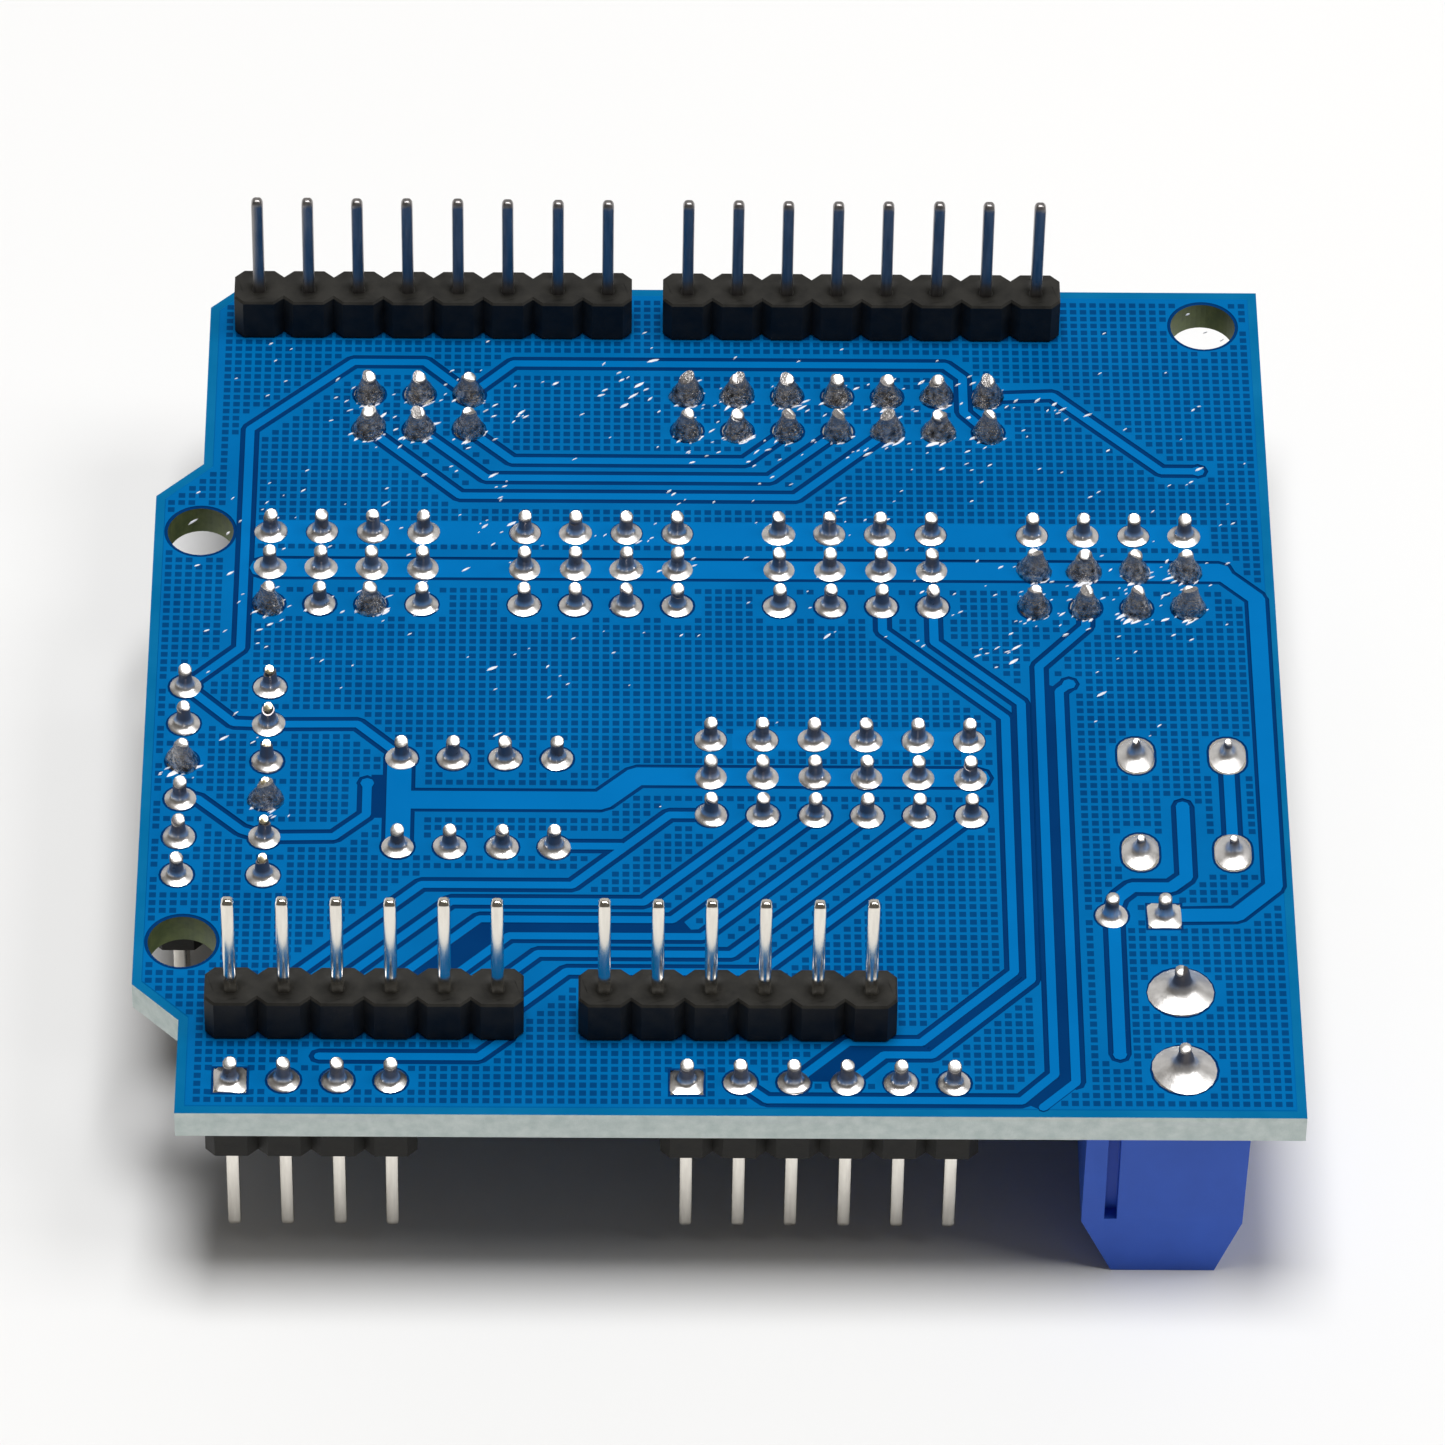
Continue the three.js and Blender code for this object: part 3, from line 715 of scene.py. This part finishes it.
class Copper:
    """One copper layer: polygons by kind, cut into a single flat partition."""

    # where polygons overlap, the earlier kind wins
    ORDER = [
        "hole", "pad", "track", "track_slope", "clear", "clear_slope",
        "opening", "solid", "pour", "pour_slope", "margin",
    ]

    def __init__(self):
        self.points = []
        self.polygons = []
        self.kinds = []
        self.keep = []

    def polygon(self, kind, ring):
        first = len(self.points)
        self.points.extend(ring)
        self.polygons.append(list(range(first, first + len(ring))))
        self.kinds.append(kind)

    def shape(self, kind, a, b, half, gap):
        """A round-ended bar, its clearance and both sloping rims."""
        count = 5 if kind == "track" else 10
        self.polygon(kind, capsule(a, b, half, count))
        self.polygon("track_slope", capsule(a, b, half + SLOPE, count))
        if gap:
            self.polygon("clear", capsule(a, b, half + gap - SLOPE, count))
            self.polygon("clear_slope", capsule(a, b, half + gap, count))
        self.keep.append((a, b, half + gap))

    def openings(self, outline, skip):
        """The hatch: a square opening wherever the grid has solid copper all round it."""
        xs = np.arange(math.ceil(LEFT / HATCH), RIGHT / HATCH) * HATCH
        ys = np.arange(math.ceil(BOTTOM / HATCH), TOP / HATCH) * HATCH
        px, py = (g.ravel() for g in np.meshgrid(xs, ys))
        free = inside_outline(px, py, outline)
        for k in range(len(outline)):
            free &= distance_to(px, py, outline[k - 1], outline[k]) > OPENING_KEEP
        for a, b, half in self.keep:
            free &= distance_to(px, py, a, b) > half + OPENING_KEEP
        for x0, y0, x1, y1 in skip:
            free &= ~((px > x0) & (px < x1) & (py > y0) & (py < y1))
        for x, y in zip(px[free], py[free]):
            ring = [(p[0], p[1]) for p in square(x, y, 0, OPENING)]
            self.polygon("opening", ring)

    def sheet(self, build, z, up, slots):
        """Adds the layer at height z, facing up or down; returns nothing."""
        points = [Vector(p) for p in self.points]
        out = delaunay_2d_cdt(points, [], self.polygons, 1, 1e-5, True)
        vertices, triangles, sources = out[0], out[2], out[5]
        rank = {kind: k for k, kind in enumerate(self.ORDER)}
        kinds = []
        for source in sources:
            kinds.append(min((rank[self.kinds[s]] for s in source), default=None))
        low_ranks = {rank["clear"], rank["margin"]}
        low = set()
        for triangle, kind in zip(triangles, kinds):
            if kind in low_ranks:
                low.update(triangle)
        facing = 1 if up else -1
        placed = []
        for i, v in enumerate(vertices):
            placed.append((v.x, v.y, z + facing * (0.0 if i in low else COPPER)))
        faces, face_slots = [], []
        for triangle, kind in zip(triangles, kinds):
            if kind is None or kind == rank["hole"]:
                continue
            faces.append(list(triangle) if up else list(triangle)[::-1])
            face_slots.append(slots[self.ORDER[kind]])
        first = len(build.points)
        build.points.extend(placed)
        for face, slot in zip(faces, face_slots):
            build.faces.append([first + i for i in face])
            build.slots.append(slot)


def add_mounting(layer):
    rim = MOUNT_HOLE_R + 0.12
    for x, y in MOUNT_HOLES:
        for kind, r in [("hole", MOUNT_HOLE_R), ("clear", rim), ("clear_slope", rim + SLOPE)]:
            layer.polygon(kind, [(p[0], p[1]) for p in circle(x, y, 0, r, HOLE_POINTS)])
        layer.keep.append(((x, y), (x, y), MOUNT_HOLE_R + 0.15))


def solder_layer():
    layer = Copper()
    layer.polygon("margin", board_outline())
    layer.polygon("pour_slope", board_outline(POUR_INSET))
    layer.polygon("pour", board_outline(POUR_INSET + SLOPE))
    add_mounting(layer)
    for width, gap, points in solder_side_tracks():
        for a, b in zip(points, points[1:]):
            layer.shape("track", a, b, width / 2, gap)
    for name, spots in PADS.items():
        grounded = name.startswith("io_ground") or name == "analog_ground"
        for x, y in spots:
            layer.shape("pad", (x, y), (x, y + DOT), PAD_R, 0.0 if grounded else PAD_GAP)
    for x, y in SQUARE_PADS:
        layer.polygon("pad", [(p[0], p[1]) for p in square(x, y, 0, PAD_R)])
        layer.polygon("clear", [(p[0], p[1]) for p in square(x, y, 0, PAD_R + PAD_GAP)])
    for x, y in RESET_PADS:
        layer.shape("pad", (x, y - 0.35), (x, y + 0.35), 0.9, PAD_GAP)
    for x, y in SELECT_PADS:
        layer.shape("pad", (x, y), (x, y + DOT), PAD_R, PAD_GAP)
    for x, y in TERMINAL_PADS:
        layer.shape("pad", (x, y), (x, y + DOT), TERMINAL_PAD_R, PAD_GAP)
    for x, y in VIAS:
        layer.shape("track", (x, y), (x, y + DOT), VIA_R, 0.2)
    for patch in BARE_PATCHES:
        layer.polygon("clear", patch)
    for x0, y0, x1, y1 in SOLID_BANDS:
        layer.polygon("solid", [(x0, y0), (x1, y0), (x1, y1), (x0, y1)])
    layer.openings(board_outline(POUR_INSET), SOLID_BANDS)
    return layer


def component_side_tracks():
    """Tracks on the component side: each signal column to its host pin, and two supply rails."""
    tracks = []
    for k in range(16):
        x = IO_X + IO_STEP * (k // 4) + PITCH * (k % 4)
        host = PITCH * k if k < 8 else HIGH_X + PITCH * (k - 8)
        lane = x + PITCH / 2
        drop = abs(lane - host)
        bend = -2.6 - drop if drop < 9.5 else -12.1
        way = [(x, -20.32), (lane, -19.05), (lane, bend), (host, bend + drop), (host, 0.0)]
        tracks.append((0.4, 0.22, way))
    for k in range(6):
        x = ANALOG_X + PITCH * k
        lane = x + PITCH / 2
        tracks.append((0.4, 0.22, [(x, ANALOG_Y), (lane, -28.3), (lane, -24.4 - 0.4 * k)]))
    tracks.append((1.0, 0.25, [(0.0, -22.7), (36.0, -22.7), (42.25, -29.0), (42.25, -41.2)]))
    tracks.append((1.0, 0.25, [(7.7, -36.86), (7.7, -43.0), (17.78, -43.0), (17.78, -48.26)]))
    return tracks


def component_layer():
    layer = Copper()
    layer.polygon("margin", board_outline())
    layer.polygon("pour_slope", board_outline(POUR_INSET))
    layer.polygon("pour", board_outline(POUR_INSET + SLOPE))
    add_mounting(layer)
    for width, gap, points in component_side_tracks():
        for a, b in zip(points, points[1:]):
            layer.shape("track", a, b, width / 2, gap)
    for spots in PADS.values():
        for x, y in spots:
            layer.shape("pad", (x, y), (x, y + DOT), PAD_R, PAD_GAP)
    for x, y in RESET_PADS + SELECT_PADS:
        layer.shape("pad", (x, y), (x, y + DOT), PAD_R, PAD_GAP)
    for x, y in TERMINAL_PADS:
        layer.shape("pad", (x, y), (x, y + DOT), 1.5, PAD_GAP)
    return layer


def make_legend():
    """White printed frames round the parts of the component side."""
    build = Build()
    room, line = 1.6, 0.16
    frames = []
    for name, x, y, along, down, solder_side in HEADERS:
        if not solder_side and not name.startswith(("io_", "analog_")):
            x1, y0 = x + (along - 1) * PITCH, y - (down - 1) * PITCH
            frames.append((x - room, y0 - room, x1 + room, y + room))
    for group in range(4):
        x = IO_X + IO_STEP * group
        frames.append((x - room, -21.9, x + 9.2, -13.6))
    frames.append((ANALOG_X - room, -36.2, ANALOG_X + 5 * PITCH + room, -28.0))
    frames.append((SWITCH_X - 3.4, SWITCH_Y - 3.4, SWITCH_X + 3.4, SWITCH_Y + 3.4))
    levels = (-BOARD_T - COPPER + 0.01, -BOARD_T - COPPER - 0.02)
    for x0, y0, x1, y1 in frames:
        bars = [
            (x0, y0, x1, y0 + line), (x0, y1 - line, x1, y1),
            (x0, y0 + line, x0 + line, y1 - line), (x1 - line, y0 + line, x1, y1 - line),
        ]
        for a0, b0, a1, b1 in bars:
            b0, b1 = max(b0, BOTTOM + 0.3), max(b1, BOTTOM + 0.3 + line)
            middle = (a0 + a1) / 2, (b0 + b1) / 2
            rings = [square(*middle, z, (a1 - a0) / 2, (b1 - b0) / 2) for z in levels]
            build.add(*lofted(rings))
    build.make("printed_legend", [LEGEND])


def make_board():
    build = Build()
    names = ["copper", "pour", "bare", "hatch", "margin", "edge", "wall", "tin", "under", "under_bare"]
    index = {name: k for k, name in enumerate(names)}
    slots = {kind: index["copper"] for kind in Copper.ORDER}
    slots.update(pour=index["pour"], pour_slope=index["pour"], opening=index["hatch"])
    slots.update(clear=index["bare"], margin=index["margin"], pad=index["tin"])
    slots.update(track_slope=index["bare"], clear_slope=index["bare"])
    solder_layer().sheet(build, 0.0, True, slots)
    slots = {kind: index["under"] for kind in Copper.ORDER}
    for kind in ("clear", "clear_slope", "track_slope", "margin"):
        slots[kind] = index["under_bare"]
    slots["pad"] = index["tin"]
    component_layer().sheet(build, -BOARD_T, False, slots)
    outline = board_outline()
    corners = len(outline)
    walls = [(x, y, z) for z in (-BOARD_T, 0.0) for x, y in outline]
    following = [(k + 1) % corners for k in range(corners)]
    build.add(walls, [[k, n, corners + n, corners + k] for k, n in enumerate(following)], index["edge"])
    for x, y in MOUNT_HOLES:
        rings = [circle(x, y, z, MOUNT_HOLE_R, HOLE_POINTS) for z in (0.0, -BOARD_T)]
        points, faces = lofted(rings, (False, False))
        build.add(points, faces, index["wall"])
    skins = [
        MASK_COPPER, MASK_POUR, MASK_BARE, MASK_HATCH, MASK_MARGIN_GLOW,
        LAMINATE, SHADED_WALL, TIN, UNDER_COPPER_DARKENED, UNDER_BARE_DARKENED,
    ]
    build.make("circuit_board", skins, nodes=["pcb"], slot="solder_mask")


make_board()
make_legend()


# ------------------------------------------------------------------- solder joints
DULL_JOINTS = {
    "display_serial_header": range(6),
    "display_parallel_header": range(14),
    "io_supply_4": range(4),
    "io_signal_4": range(4),
    "io_signal_1": (0, 2),
    "radio_header": (2,),
    "card_socket": (3,),
}
# share of the radius and height of each ring of a joint
FILLET = [
    (1.0, -0.02), (1.0, 0.05), (0.95, 0.075), (0.85, 0.11), (0.74, 0.15), (0.63, 0.195), (0.54, 0.27),
    (0.475, 0.42), (0.44, 0.62), (0.41, 0.82), (0.39, 1.0), (0.37, 1.10),
]
DOME = [
    (1.0, -0.02), (1.0, 0.07), (0.95, 0.105), (0.85, 0.175), (0.72, 0.265), (0.60, 0.345), (0.48, 0.435),
    (0.38, 0.54), (0.31, 0.70), (0.26, 0.92), (0.225, 1.15), (0.17, 1.34),
]
CONE = [
    (1.0, -0.02), (1.0, 0.06), (0.94, 0.09), (0.81, 0.145), (0.67, 0.20), (0.54, 0.26), (0.43, 0.34),
    (0.34, 0.47), (0.28, 0.66), (0.23, 0.86), (0.17, 0.96),
]
LUMP = [
    (1.02, -0.02), (1.02, 0.10), (0.98, 0.20), (0.90, 0.34), (0.80, 0.50), (0.68, 0.70),
    (0.56, 0.88), (0.49, 1.04), (0.46, 1.18), (0.42, 1.30),
]


def joint(build, rng, x, y, r, height, slot=0, oval=(1.0, 1.0), mess=0.0, boxy=False,
          profile=None):
    """A solder fillet that climbs from its pad to the tail inside it; mess makes it a rough lump."""
    count = 20
    lift = rng.uniform(0.9, 1.08) * height / 1.4
    lean = (rng.uniform(-0.05, 0.05), rng.uniform(-0.05, 0.05))
    phase = rng.uniform(0, 6.28)
    wave = rng.uniform(0.01, 0.035) + mess
    rings = []
    for share, z in profile or (LUMP if mess else FILLET):
        radius = r * share
        bulge = 1.0 + 0.25 * wave
        ring = []
        for k in range(count):
            angle = 2 * math.pi * k / count
            waves = math.sin(2 * angle + phase), 0.6 * math.sin(3 * angle - 2 * phase)
            wobble = bulge + wave * sum(waves)
            wobble += mess * rng.uniform(-0.5, 0.5)
            if boxy and share > 0.6:
                corner = 1 / max(abs(math.cos(angle)), abs(math.sin(angle)))
                wobble *= 1 + (min(corner, 1.3) - 1) * (share - 0.6) / 0.4
            climb = 0.0 if z < 0.07 else z * lift * (1 + 0.12 * math.sin(angle + phase)) - z
            ring.append((
                x + lean[0] * z + radius * oval[0] * wobble * math.cos(angle),
                y + lean[1] * z + radius * oval[1] * wobble * math.sin(angle),
                z + climb + mess * rng.uniform(-0.2, 0.25) * (z > 0.1),
            ))
        rings.append(ring)
    build.add(*lofted(rings), slot)


def make_joints():
    """The fillets of one area make one piece."""
    areas = {
        "joints_display": ["display_serial_header", "display_parallel_header"],
        "joints_io": [f"io_{role}_{g}" for role in ("ground", "supply", "signal") for g in (1, 2, 3, 4)],
        "joints_analog": ["analog_ground", "analog_supply", "analog_signal"],
        "joints_left": ["radio_header", "card_socket", "bus_header", "ranger_header"],
        "joints_edge": ["edge_header_short", "edge_header_long"],
    }
    for area, names in areas.items():
        rng = random.Random(area)
        build = Build()
        for name in names:
            for k, (x, y) in enumerate(PADS[name]):
                dull = k in DULL_JOINTS.get(name, ())
                r = rng.uniform(0.76, 0.82)
                boxy = (x, y) in SQUARE_PADS
                joint(build, rng, x, y, r, 1.4, int(dull), mess=0.07 if dull else 0.0, boxy=boxy)
        build.make(area, [SOLDER, DULL_SOLDER], smooth=50, slot="tinned_metal")
    rng = random.Random("joints_right")
    build = Build()
    for x, y in RESET_PADS:
        joint(build, rng, x, y, 0.88, 1.4, oval=(1.0, 1.34), profile=CONE)
        cut_tail(build, x, y, 1.12, rng, 2, 1, 0.19)
    for x, y in SELECT_PADS:
        joint(build, rng, x, y, 0.8, 1.4, boxy=(x, y) in SQUARE_PADS)
    for x, y in TERMINAL_PADS:
        joint(build, rng, x, y, TERMINAL_PAD_R, 1.5, profile=DOME)
        cut_tail(build, x - 0.05, y + 0.05, 1.66, rng, 2, 1, 0.3)
    for x, y in SELECT_PADS:
        cut_tail(build, x, y, TAIL, rng, 2, 1)
    build.make("joints_right", [BRIGHT_SOLDER, CUT_TIN, TAIL_SIDE_SHADE], smooth=50, slot="tinned_metal")


def make_host_joints():
    """The host strips are soldered on the component side."""
    build = Build()
    rng = random.Random("joints_host")
    for header in HEADERS[:4]:
        for x, y in PADS[header[0]]:
            joint(build, rng, x, y, 0.78, 1.4)
    build.points = [(x, y, -BOARD_T - z) for x, y, z in build.points]
    build.make("joints_host", [SOLDER], smooth=50, slot="tinned_metal")


make_joints()
make_host_joints()


# ------------------------------------------------------- pieces refined from the CAD
def refined(node, materials, name, edge, body="board", cut=False):
    """A copy of a CAD node with its facets merged and its edges rounded; cut ends it inside the joint."""
    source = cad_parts[node]
    mesh = source.data.copy()
    mesh.materials.clear()
    for material in materials:
        mesh.materials.append(material)
    bm = bmesh.new()
    bm.from_mesh(mesh)
    bmesh.ops.remove_doubles(bm, verts=bm.verts, dist=1e-7)
    bmesh.ops.dissolve_limit(bm, angle_limit=math.radians(1.0), verts=bm.verts, edges=bm.edges)
    if cut:
        everything = bm.verts[:] + bm.edges[:] + bm.faces[:]
        sliced = bmesh.ops.bisect_plane(
            bm, geom=everything, plane_co=at(0, 0, 0.2), plane_no=(0, 0, 1), clear_outer=True
        )
        rim = [e for e in sliced["geom_cut"] if isinstance(e, bmesh.types.BMEdge)]
        bmesh.ops.contextual_create(bm, geom=rim)
    for face in bm.faces:
        face.material_index = 0
    bmesh.ops.recalc_face_normals(bm, faces=bm.faces)
    bm.to_mesh(mesh)
    bm.free()
    piece = bpy.data.objects.new(name, mesh)
    bpy.context.scene.collection.objects.link(piece)
    if edge:
        bevel = piece.modifiers.new("rounded", "BEVEL")
        bevel.width = edge * MM
        bevel.segments = 2
        bevel.limit_method = "ANGLE"
        bevel.angle_limit = math.radians(30)
        bevel.harden_normals = True
    mesh.shade_smooth()
    mesh.set_sharp_from_angle(angle=math.radians(35))
    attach(piece, body)
    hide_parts(node)


STEEL = finish("plated_steel", (0.60, 0.60, 0.61), (0.74, 0.74, 0.75), (0.18, 0.32), 0.8, 0.08, 0.003, 1.0)
BRASS = finish("contact_brass", (0.62, 0.45, 0.18), (0.80, 0.62, 0.30), (0.2, 0.35), 0.8, 0.08, 0.003, 1.0)
SWITCH_BLACK = finish(
    "switch_black", (0.014, 0.014, 0.015), (0.024, 0.024, 0.026), (0.35, 0.5), 1.0, 0.1, 0.004
)
CAP_BLACK = finish("cap_black", (0.012, 0.013, 0.015), (0.02, 0.021, 0.024), (0.3, 0.45), 1.0, 0.1, 0.004)
CERAMIC = finish("chip_ceramic", (0.02, 0.018, 0.016), (0.03, 0.028, 0.026), (0.3, 0.4), 0.5, 0.08, 0.003)
LENS = finish("lamp_lens", (0.70, 0.74, 0.66), (0.80, 0.84, 0.76), (0.12, 0.2), 0.5, 0.1, 0.002)

refined("terminal_housing", [TERMINAL_BLUE], "terminal_block", 0.12)
refined("reset_base", [SWITCH_BLACK], "reset_key_base", 0.1)
refined("reset_cover", [STEEL], "reset_key_cover", 0.05)
refined("reset_plunger", [SWITCH_BLACK], "reset_key_plunger", 0.08, "reset_plunger")
refined("select_insulator", [BLACK], "select_strip", 0.08)
refined("select_jumper_cap", [CAP_BLACK], "jumper_cap", 0.15, "select_jumper")
for k in (1, 2):
    refined(f"clamp_screw_{k}", [STEEL], f"terminal_screw_{k}", 0.08, f"clamp_screw_{k}")
    refined(f"wire_guard_{k}", [STEEL], f"terminal_guard_{k}", 0.06, f"wire_guard_{k}")
    refined(f"terminal_cage_{k}", [TIN], f"terminal_clamp_{k}", 0.06, cut=True)
    refined(f"select_pin_{k}", [TIN], f"select_post_{k}", 0.05, cut=True)
refined("reset_lead_inner", [TIN], "reset_leg_inner", 0.05, cut=True)
refined("reset_lead_outer", [TIN], "reset_leg_outer", 0.05, cut=True)
refined("select_jumper_clip", [BRASS], "jumper_band", 0.04, "select_jumper")
refined("reset_dome", [STEEL], "reset_snap_dome", 0.0)
refined("supply_led", [LENS], "supply_lamp", 0.05)
refined("supply_resistor", [CERAMIC], "supply_chip", 0.05)


# --------------------------------------------------------------------- flux flecks
def make_flecks():
    """Small raised flakes of dried flux, most of them lying one way, painted near-white as glints."""
    rng = random.Random("flecks")
    build = Build()
    spots = []
    for name, numbers in DULL_JOINTS.items():
        for k in numbers:
            x, y = PADS[name][k]
            for _ in range(6):
                spots.append((x + rng.gauss(0.1, 0.9), y + rng.gauss(-0.6, 0.8), 0.9))
            for _ in range(4):
                turn = math.radians(rng.uniform(205, 335))
                spots.append((x + 0.84 * math.cos(turn), y + 0.86 * math.sin(turn), 1.3))
    for _ in range(300):
        spots.append((rng.uniform(-3, 50), rng.gauss(-14, 8), 0.8))
    for x, y in [(12.7, -6.5), (37.7, -23.7), (40.5, -6.0), (19.5, -4.6)]:
        for _ in range(9):
            spots.append((x + rng.gauss(0, 0.9), y + rng.gauss(0, 0.6), 1.0))
    outline = board_outline(0.6)
    for x, y, size in spots:
        if not inside_outline(np.array([x]), np.array([y]), outline)[0]:
            continue
        length = size * rng.uniform(0.10, 0.28) * (1.8 if rng.random() < 0.15 else 1.0)
        width = length * rng.uniform(0.10, 0.24) + 0.012
        angle = math.radians(rng.gauss(40, 9))
        ca, sa = math.cos(angle), math.sin(angle)
        ring = []
        for px, py in [(-1, 0), (-0.3, -1), (0.5, -1), (1, 0), (0.3, 1), (-0.5, 1)]:
            px, py = px * length, py * width
            ring.append((x + px * ca - py * sa, y + px * sa + py * ca))
        low = [(px, py, 0.0) for px, py in ring]
        high = [(x + (px - x) * 0.7, y + (py - y) * 0.6, COPPER + 0.03) for px, py in ring]
        build.add(*lofted([low, high]))
    build.make("flux_flecks", [FLECK_GLINT], smooth=60)


make_flecks()


# --------------------------------------------------------------- floor, light, view
def make_floor():
    """A pale floor under the lowest part, the terminal."""
    corners = square(20, -25, -BOARD_T - TERMINAL_H, 900.0)
    mesh = bpy.data.meshes.new("floor")
    mesh.from_pydata([at(*p) for p in corners], [], [[0, 1, 2, 3]])
    paint = finish(
        "floor_white", (0.80, 0.80, 0.80), (0.82, 0.82, 0.82), (0.8, 0.9), 200.0, 5.0, 0.001, specular=0.2
    )
    mesh.materials.append(paint)
    floor = bpy.data.objects.new("floor", mesh)
    bpy.context.scene.collection.objects.link(floor)


def area_light(name, where, size, watts):
    """A white rectangle facing the origin."""
    data = bpy.data.lights.new(name, "AREA")
    data.shape = "RECTANGLE"
    data.size, data.size_y = size
    data.energy = watts
    light = bpy.data.objects.new(name, data)
    light.location = where
    light.rotation_euler = Vector(where).to_track_quat("Z", "Y").to_euler()
    bpy.context.scene.collection.objects.link(light)


def make_world(strength):
    world = bpy.data.worlds.new("studio")
    world.use_nodes = True
    background = world.node_tree.nodes["Background"]
    background.inputs["Color"].default_value = (1.0, 0.93, 0.82, 1)
    background.inputs["Strength"].default_value = strength
    bpy.context.scene.world = world


def make_camera(azimuth, elevation, roll, distance, target, lens):
    """Looks at target from azimuth and elevation, turned by roll about its own view line."""
    a, e, r = (math.radians(v) for v in (azimuth, elevation, roll))
    back = Vector((math.cos(e) * math.cos(a), math.cos(e) * math.sin(a), math.sin(e)))
    right = Vector((-math.sin(a), math.cos(a), 0))
    up = back.cross(right)
    turned_right = math.cos(r) * right + math.sin(r) * up
    turned_up = math.cos(r) * up - math.sin(r) * right
    data = bpy.data.cameras.new("camera")
    data.lens = lens
    data.sensor_width = 36
    data.clip_start = 0.01
    camera = bpy.data.objects.new("camera", data)
    turn = Matrix((turned_right, turned_up, back)).transposed().to_4x4()
    camera.matrix_world = Matrix.Translation(Vector(target) + back * distance) @ turn
    bpy.context.scene.collection.objects.link(camera)
    bpy.context.scene.camera = camera


make_floor()
make_world(0.11)
area_light("overhead", (0.01, 0.05, 0.92), (0.36, 0.36), 7.6)
area_light("back_panel", (0.0, 1.1, 0.62), (2.6, 0.9), 3.4)
area_light("right_panel", (0.64, -0.06, 0.90), (0.44, 0.44), 3.0)
make_camera(-91.045, 46.0, 1.051, 0.4774, (0.0004, -0.0025, 0.0116), 241.9)
bpy.context.scene.view_settings.view_transform = "Standard"
